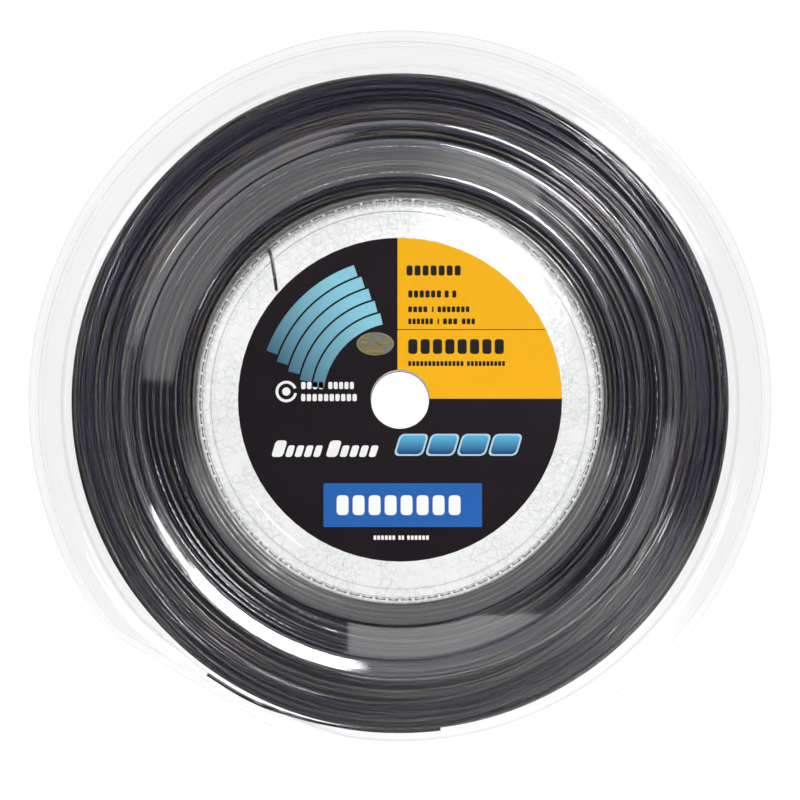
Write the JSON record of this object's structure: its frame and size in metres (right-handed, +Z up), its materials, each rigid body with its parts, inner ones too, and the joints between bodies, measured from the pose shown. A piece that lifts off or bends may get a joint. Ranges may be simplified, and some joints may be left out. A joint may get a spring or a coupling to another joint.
{
  "type": "string reel",
  "caption": "Clear plastic reel of black racket string, with a printed disc label on each side, a spindle hole and a flat on its rim to stand on.",
  "frame": {"origin": "centre of the spindle hole at half the reel's thickness", "axes": "+Y along the reel's axis from the front to the rear, +Z up across the front face, +X to the right seen from the front"},
  "size_m": [0.27, 0.0202, 0.27],
  "materials": {
    "clear_plastic": "clear, polished",
    "core_plastic": "clear, lightly rippled",
    "bush_plastic": "milky, satin",
    "front_print": "printed film, semi-gloss",
    "rear_print": "printed film, semi-gloss",
    "seal_film": "metallic film, gloss",
    "string_polyester": "smooth, gloss"
  },
  "bodies": {
    "root": {"front_flange": "clear_plastic", "rear_flange": "clear_plastic", "core_drum": "core_plastic", "spindle_sleeve": "bush_plastic", "front_label": "front_print", "rear_label": "rear_print", "seal_sticker": "seal_film", "string_winding": "string_polyester", "string_inner_end": "string_polyester", "string_outer_end": "string_polyester"}
  },
  "joints": []
}
